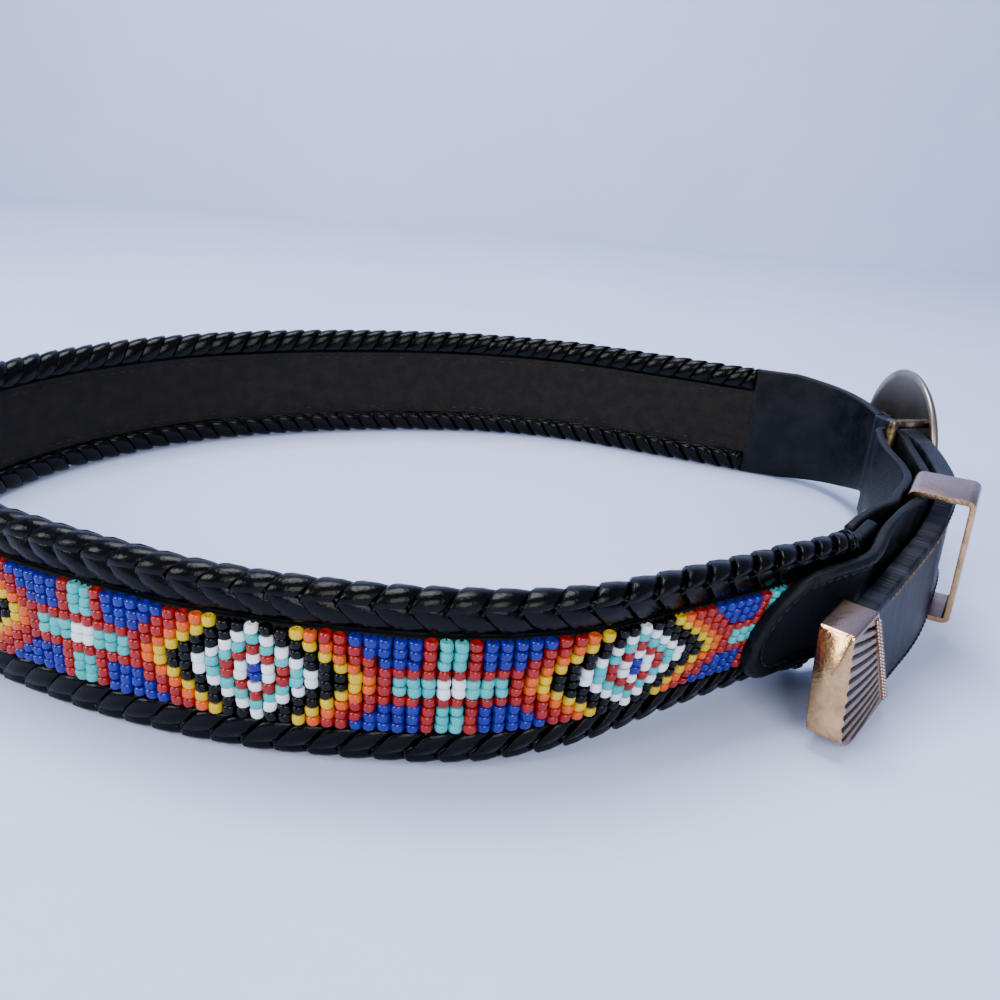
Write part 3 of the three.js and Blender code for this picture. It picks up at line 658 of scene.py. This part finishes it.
def laced_edge(name, node, side):
    marks = np.arange(laced_from, laced_to, 2.5)
    section = bed_section(side)
    count = len(section)
    verts = [band.point(np.full(count, s), section[:, 0], section[:, 1]) for s in marks]
    faces = ring_faces(len(marks), count)
    start = len(marks) * count
    for family in (-1, 1):
        offset = 0 if family > 0 else LOBE_PITCH / 2
        for s0 in np.arange(laced_from - 11 + offset, laced_to - 3, LOBE_PITCH):
            rings = lace_stroke(s0, side, family)
            verts.append(rings.reshape(-1, 3))
            faces += ring_faces(rings.shape[0], rings.shape[1], start)
            start += rings.shape[0] * rings.shape[1]
    verts = np.vstack(verts)
    verts[:, 2] = np.maximum(verts[:, 2], 0.00005)
    piece = new_piece(name, verts, faces, lace)
    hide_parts(node)
    print(name, "faces:", len(faces))


laced_edge("upper_lacing", "upper_edge_braid", 1)
laced_edge("lower_lacing", "lower_edge_braid", -1)

# %% [markdown]
# ## Straps
# Both straps end in a rounded overlay on the beads, with a thick padded rim, a row of stitches
# inside it and a slightly hollow middle. The face is a grid whose height follows the distance to
# the outline, so the rim runs round the nose without a break.

# %% Padded straps


def nose_half(distance, full):
    left = 1 - min(max(distance, 0) / NOSE_ROUND, 1)
    return full * max(math.sqrt(1 - left * left), 0.02)


def distance_to(outline, points):
    """Distance of each point to the nearest corner of a dense outline."""
    gap = points[:, None, :] - outline[None, :, :]
    return np.sqrt((gap**2).sum(-1)).min(1)


def strap_piece(name, course, marks, half_at, faces_at, rim_at, material):
    """A strap with a grid on both faces; rim_at(s) is how far its padded rim stands out."""
    across = np.sin(np.linspace(-np.pi / 2, np.pi / 2, 31))
    halves = np.array([half_at(s) for s in marks])
    outline = np.vstack([np.stack([marks, halves], 1), np.stack([marks, -halves], 1)])
    ends = [[marks[k], v * halves[k]] for k in (0, -1) for v in np.linspace(-1, 1, 20)]
    outline = np.vstack([outline, ends])
    grid_s = np.repeat(marks, len(across))
    grid_z = (halves[:, None] * across[None, :]).ravel()
    near = distance_to(outline, np.stack([grid_s, grid_z], 1))
    inner, outer = np.array([faces_at(s) for s in grid_s]).T
    rim = np.array([rim_at(s) for s in grid_s])
    ease = 0.55 * np.sqrt(np.clip(1 - (1 - np.clip(near / 0.9, 0, 1)) ** 2, 0, 1)) - 0.55
    raised = np.exp(-((near - 1.5) ** 2))
    groove = 0.45 * np.exp(-(((near - 3.0) / 0.5) ** 2))
    pad = rim * (raised - groove - 0.35 * (near > 3.4))
    top = course.point(grid_s, outer + ease + pad, grid_z)
    under = course.point(grid_s, inner - ease, grid_z)
    rows, count = len(marks), len(across)
    verts = np.vstack([top, under])
    faces = []
    for r in range(rows - 1):
        for i in range(count - 1):
            a = r * count + i
            b = a + rows * count
            faces += [(a, a + 1, a + 1 + count, a + count), (b, b + count, b + count + 1, b + 1)]
        for i in (0, count - 1):
            a, b = r * count + i, (r + rows) * count + i
            faces.append((a, a + count, b + count, b) if i else (a, b, b + count, a + count))
    for r in (0, rows - 1):
        for i in range(count - 1):
            a, b = r * count + i, (r + rows) * count + i
            faces.append((a, b, b + 1, a + 1) if r == 0 else (a, a + 1, b + 1, b))
    flat = np.stack([grid_s / 10, grid_z / 10], 1)
    return new_piece(name, verts, faces, material, np.vstack([flat, flat]))


NOSE_MARKS = [0.02, 0.15, 0.4, 0.8, 1.3, 1.9, 2.6, 3.5, 4.5, 5.7, 7, 8.5, 10]


def buckle_half(s):
    half = mix_to(STRAP_HALF, NOSE_HEIGHT / 2, s, overlay_from, strap.total - NOSE_ROUND)
    return nose_half(strap.total - s, half)


marks = np.concatenate([np.arange(0, strap.total - 11, 1.2), [strap.total - d for d in NOSE_MARKS[::-1]]])
buckle_strap = strap_piece(
    "buckle_strap_leather", strap, marks, buckle_half, lambda s: (-STRAP_THICK / 2, STRAP_THICK / 2),
    lambda s: mix_to(0.0, 0.75, s, overlay_from - 6, overlay_from + 3), strap_leather,
)
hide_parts("buckle_strap")


def tail_half(s):
    half = mix_to(NOSE_HEIGHT / 2, STRAP_HALF, s, laced_to, core_to)
    half = mix_to(half, TIP_HEIGHT / 2 - 1.2, s, tip_from - TIP_LENGTH, tip_from - TIP_SLANT)
    return nose_half(s - tail_from, half)


def tail_rim(s):
    return mix_to(0.7, 0.28, s, laced_to + 5, core_to)


def tail_faces(s):
    if s > core_to:
        return -TAIL_THICK / 2, TAIL_THICK / 2
    inner = mix_to(OVERLAY, FACE, s, laced_to + FIT_GAP, laced_to + STRAP_HALF)
    return inner, inner + STRAP_THICK


tail_end = tip_from + TIP_POCKET - FIT_GAP
marks = np.concatenate([
    [tail_from + d for d in NOSE_MARKS], np.arange(tail_from + 11, core_to, 1.4),
    [core_to - 0.02, core_to + 0.3], np.arange(core_to + 1.5, tail_end, 1.4),
])
tail = strap_piece(
    "tail_strap_leather", band, marks, tail_half, tail_faces,
    tail_rim, tail_leather,
)
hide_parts("tail_strap")

# %% [markdown]
# ## Stitches
# Stitches are short lengths of thread that dip into the leather at both ends. One is modelled from
# a six-sided cylinder with its ends drawn in, then copied along each seam.

# %% One stitch, and a helper that lays a seam
bpy.ops.mesh.primitive_cylinder_add(vertices=6, radius=0.27 * MM, depth=0.9 * MM)
stitch = bpy.context.object
bpy.ops.object.mode_set(mode="EDIT")
bpy.ops.mesh.select_mode(type="FACE")
bpy.ops.mesh.select_all(action="DESELECT")
bpy.ops.object.mode_set(mode="OBJECT")
for face in stitch.data.polygons:
    face.select = abs(face.normal.z) > 0.9
bpy.ops.object.mode_set(mode="EDIT")
bpy.ops.mesh.extrude_faces_move(TRANSFORM_OT_shrink_fatten={"value": 0.35 * MM})
bpy.ops.transform.resize(value=(0.45, 0.45, 1))
bpy.ops.mesh.select_mode(type="VERT")
bpy.ops.object.mode_set(mode="OBJECT")
stitch_verts = np.array([v.co for v in stitch.data.vertices])
stitch_faces = [list(f.vertices) for f in stitch.data.polygons]
bpy.data.objects.remove(stitch, do_unlink=True)


def seam(name, course, s, n, z, outward, pitch, material):
    """Stitches along a line given by s, n and z; outward is 1 or -1, the face that they lie on."""
    s, z, n = (np.asarray(q, float) for q in (s, z, n))
    run = np.concatenate([[0], np.cumsum(np.hypot(np.diff(s), np.diff(z)))])
    marks = np.arange(pitch / 2, run[-1], pitch)
    centre, before, after = (
        course.point(*(np.interp(marks + d, run, line) for line in (s, n, z))) for d in (0, -0.5, 0.5)
    )
    way = after - before
    way /= np.linalg.norm(way, axis=1)[:, None]
    _, out, _ = course.at(np.interp(marks, run, s))
    out = out * outward
    side = np.cross(way, out)
    side /= np.linalg.norm(side, axis=1)[:, None]
    out = np.cross(side, way)
    axes = (side, out, way)
    verts = centre[:, None] + sum(stitch_verts[None, :, k : k + 1] * axes[k][:, None] for k in range(3))
    faces = [tuple(i + c * len(stitch_verts) for i in f) for c in range(len(marks)) for f in stitch_faces]
    return new_piece(name, verts.reshape(-1, 3), faces, material)


# %% Seams of the lining, the overlays and the tail
LINING_SEAM, INSET = 9.2, 3.0
lining_run = np.arange(laced_from + 4, laced_to - 2, 2.0)
flush = np.full(len(lining_run), -CORE_HALF - 0.05)
for side, name in ((1, "upper_lining_seam"), (-1, "lower_lining_seam")):
    seam(name, band, lining_run, flush, np.full(len(lining_run), side * LINING_SEAM), -1, 3.4, thread)
nose = np.array([strap.total - d for d in [0.4, 0.8, 1.3, 1.9, 2.6, 3.5, 4.5, 5.7, 7, 8.5, 10, 12]])
NOSE_SEAM = 14
drawn_in = INSET * (nose - strap.total + NOSE_SEAM) / NOSE_SEAM
upper = np.array([(s - back, max(buckle_half(s) - INSET, 0)) for s, back in zip(nose, drawn_in)])
straight = np.arange(strap.total - NOSE_SEAM, overlay_from - 4, -2.0)
side_run = np.array([(s, buckle_half(s) - INSET) for s in straight])
half_line = np.vstack([upper, side_run])
line = np.vstack([half_line[::-1], half_line * (1, -1)])
seam("overlay_seam", strap, line[:, 0], np.full(len(line), STRAP_THICK / 2 - 0.1), line[:, 1], 1, 2.3, thread)
tail_run = np.arange(tail_from + 14, tip_from - 4, 2.0)
rim_top = [tail_faces(s)[1] + 0.95 * tail_rim(s) + 0.04 for s in tail_run]
for side, name, colour in ((1, "upper_tail_seam", raw_edge), (-1, "lower_tail_seam", thread)):
    height = [side * (tail_half(s) - 1.5) for s in tail_run]
    seam(name, band, tail_run, rim_top, height, 1, 1.75, colour)

# %% [markdown]
# ## Tip
# The tip is a cast cap. Its outer face is cut with flutes that sweep up towards the end, its border
# is a double row of tiny balls, and its end face is rubbed bright. The flutes are pressed into a
# fine grid, and how deep each point lies is kept for the darkening in the material: dark oxide and
# painted shade in the flutes. The fluted side is also a darker bronze than the top: painted shade.

# %% Fluted tip
# recess keeps how deep each flute is cut, and the material darkens it there: dark oxide and painted shade.
rings, recess = [], []
FACE_STEPS, FLUTE_PITCH = 120, 1.85
face_z = np.linspace(-1, 1, FACE_STEPS)
reaches = np.concatenate([np.linspace(0, 0.93, 72), [0.955, 0.975, 0.99, 1.0]])
for reach in reaches:
    soft = max((reach - 0.955) / 0.045, 0)
    thick, high = TIP_THICK / 2 - 0.45 * soft**1.5, TIP_HEIGHT / 2 - 0.2 * soft
    corner = max((reach * TIP_LENGTH - (TIP_LENGTH - TIP_CORNER_RUN)) / TIP_CORNER_RUN, 0)
    low = -high + TIP_CORNER * corner**1.8
    z_face = (low + high) / 2 + face_z * ((high - low) / 2 - 0.5)
    back_z = z_face[::-10]
    over = np.array([thick - 0.15, thick - 0.5, -thick + 0.5, -thick + 0.15])
    z = np.concatenate([z_face, [high - 0.15, high, high, high - 0.15], back_z, [low + 0.15, low, low, low + 0.15]])
    n = np.concatenate([np.full(FACE_STEPS, thick), over, np.full(len(back_z), -thick), over[::-1]])
    along = reach * TIP_LENGTH + (1 - reach) * TIP_SLANT * z / high - reach * TIP_RAKE * (1 + z / high) / 2
    flute = (z + 0.02 * along - 0.006 * along**2 + 3) / (1 + 0.02 * along)
    phase = np.abs((flute / FLUTE_PITCH) % 1 - 0.5) * 2
    cut = np.clip((phase - 0.64) / 0.16, 0, 1) * (np.arange(len(z)) < FACE_STEPS)
    edge = (np.abs(z - (low + high) / 2) < (high - low) / 2 - 1.0) * (0.12 < reach) * (reach < 0.97)
    cut = cut * edge
    round_off = np.where(np.arange(len(z)) < FACE_STEPS, -0.4 * phase**2 * edge, 0)
    rings.append(band.point(np.minimum(tip_from + along, band.total), n - 0.5 * cut + round_off, z))
    recess.append(cut**0.6)
count = len(rings[0])
tip = new_piece(
    "fluted_tip", np.vstack(rings), ring_faces(len(rings), count), bronze,
    recess=np.concatenate(recess),
)
tip.data.materials.append(golden)
tip.data.materials.append(painted_shade_bronze)
# The end rings get the rubbed gold, the fluted side gets the darker bronze copy (painted shade), and the rest keeps
# the lighter bronze.
for face in tip.data.polygons:
    fluted = all(v % count < FACE_STEPS for v in face.vertices)
    face.material_index = 1 if min(face.vertices) >= (len(rings) - 4) * count else 2 * fluted
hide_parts("tip")

# %% Beaded border of the tip
bpy.ops.mesh.primitive_ico_sphere_add(subdivisions=2, radius=0.5 * MM)
ball = bpy.context.object
ball_verts = np.array([v.co for v in ball.data.vertices])
ball_faces = [list(f.vertices) for f in ball.data.polygons]
bpy.data.objects.remove(ball, do_unlink=True)
heights = np.arange(-11.6, 11.7, 1.02)
slanted = tip_from + TIP_SLANT * heights / (TIP_HEIGHT / 2)
outside = np.full(len(heights), TIP_THICK / 2 + 0.1)
spots = np.vstack([band.point(slanted + d, outside, heights) for d in (0.6, 1.7)])
verts = (spots[:, None] + ball_verts[None]).reshape(-1, 3)
faces = [tuple(i + c * len(ball_verts) for i in f) for c in range(len(spots)) for f in ball_faces]
new_piece("tip_border", verts, faces, bronze)

# %% [markdown]
# ## Keeper, snap and buckle
# The keeper and the snap are right as solids, so a copy of each is merged and its edges are eased
# with a bevel. The plate gets a new finely divided shell, hollow behind and domed in front, with a
# raised rim, and it hangs on a bale of a bar and two arms.

# %% Copies with eased edges


def eased_copy(name, node, width, material):
    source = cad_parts[node]
    piece = source.copy()
    piece.data = source.data.copy()
    piece.name = name
    piece.data.name = name
    bpy.context.collection.objects.link(piece)
    bpy.ops.object.select_all(action="DESELECT")
    piece.hide_set(False)
    piece.select_set(True)
    bpy.context.view_layer.objects.active = piece
    place = piece.matrix_world.copy()
    piece.parent = None
    piece.matrix_world = place
    bpy.ops.object.transform_apply(location=True, rotation=True, scale=True)
    bpy.ops.object.mode_set(mode="EDIT")
    bpy.ops.mesh.select_all(action="SELECT")
    bpy.ops.mesh.remove_doubles(threshold=1e-6)
    bpy.ops.mesh.dissolve_limited(angle_limit=math.radians(1))
    bpy.ops.object.mode_set(mode="OBJECT")
    bevel = piece.modifiers.new("eased_edges", "BEVEL")
    bevel.width = width * MM
    bevel.segments = 3
    bevel.angle_limit = math.radians(35)
    bpy.ops.object.modifier_apply(modifier=bevel.name)
    bpy.ops.object.shade_smooth_by_angle(angle=math.radians(30))
    piece.data.materials.clear()
    piece.data.materials.append(material)
    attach(piece, "root")
    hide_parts(node)
    return piece


keeper = eased_copy("keeper_loop", "keeper", 0.3, bronze)
keeper.data.materials.append(golden)
# Faces that point to the front or down get the bright gold: a painted highlight on the keeper's near rim.
for face in keeper.data.polygons:
    face.material_index = int(face.normal.y < -0.6 or face.normal.z < -0.6)
eased_copy("snap_cap", "strap_snap", 0.35, golden)

# %% Domed plate
plate_low, plate_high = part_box("buckle_plate")
bar = (station(BAR_PLACE)[:3] + SHIFT) * MM
plate_x = (band.at(core_to)[0][0] + SHIFT[0] + FACE + STRAP_THICK + 2.6 - 3.0) * MM
plate_mid = Vector((plate_x, (plate_low.y + plate_high.y) / 2, (plate_low.z + plate_high.z) / 2))
half_y, half_z = (plate_high.y - plate_low.y) / 2, (plate_high.z - plate_low.z) / 2
PROFILE = [
    (0.0, 0.0), (0.3, 0.0), (0.6, 0.0), (0.8, 0.0), (0.9, 0.0), (0.955, 0.02), (0.985, 0.15), (1.0, 0.5),
    (0.99, 0.85), (0.965, 1.05), (0.93, 1.1), (0.9, 1.0), (0.885, 0.75), (0.87, 0.72),
    (0.84, 0.9), (0.6, 0.95), (0.3, 1.0), (0.0, 1.0),
]
SIDES = 96
# recess darkens the groove inside the raised rim: painted shade.
verts, recess = [], []
for radius, depth in PROFILE:
    for k in range(SIDES if radius else 1):
        angle = 2 * math.pi * k / SIDES
        y, z = radius * math.cos(angle), radius * math.sin(angle)
        dome = 3.0 * (1 - y * y - z * z)
        verts.append((plate_mid.x + (dome + 2.2 * depth) * MM, plate_mid.y + y * half_y, plate_mid.z + z * half_z))
        recess.append(0.85 if 0.865 <= radius <= 0.89 and depth < 0.8 else 0)
faces, ring_start = [], 1
for r in range(1, len(PROFILE) - 2):
    for k in range(SIDES):
        a, b = ring_start + k, ring_start + (k + 1) % SIDES
        faces.append((a, b, b + SIDES, a + SIDES))
    ring_start += SIDES
last_point = len(verts) - 1
for k in range(SIDES):
    faces.append((0, 1 + (k + 1) % SIDES, 1 + k))
    faces.append((last_point, ring_start + k, ring_start + (k + 1) % SIDES))
plate = new_piece("domed_plate", verts, faces, nickel, recess=recess)
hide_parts("buckle_plate")

# %% Bale that hangs the plate on the strap
bpy.ops.object.select_all(action="DESELECT")
bpy.ops.mesh.primitive_cylinder_add(vertices=24, radius=BAR_RADIUS * MM, depth=31.4 * MM, location=bar)
bale = bpy.context.object
bale.name = "bale"
reach = plate_mid.x + 0.0009 - bar[0]
for side in (1, -1):
    middle = (bar[0] + reach / 2 - 0.0006, bar[1] + 0.0018, bar[2] + side * 14.5 * MM)
    lean = (0, 0, math.atan2(0.0036, reach))
    bpy.ops.mesh.primitive_cube_add(size=1, location=middle, rotation=lean, scale=(reach + 0.0022, 0.0026, 0.0022))
    arm = bpy.context.object
    arm.select_set(True)
    bale.select_set(True)
    bpy.context.view_layer.objects.active = bale
    bpy.ops.object.join()
bpy.ops.object.transform_apply(location=True, rotation=True, scale=True)
bevel = bale.modifiers.new("soft_edges", "BEVEL")
bevel.width = 0.5 * MM
bevel.segments = 3
bpy.ops.object.modifier_apply(modifier=bevel.name)
bpy.ops.object.shade_smooth_by_angle(angle=math.radians(35))
# The bale is dark with bright patches: painted shade and painted highlights.
bale.data.materials.append(brass_painted_shade_and_highlights)
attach(bale, "root")
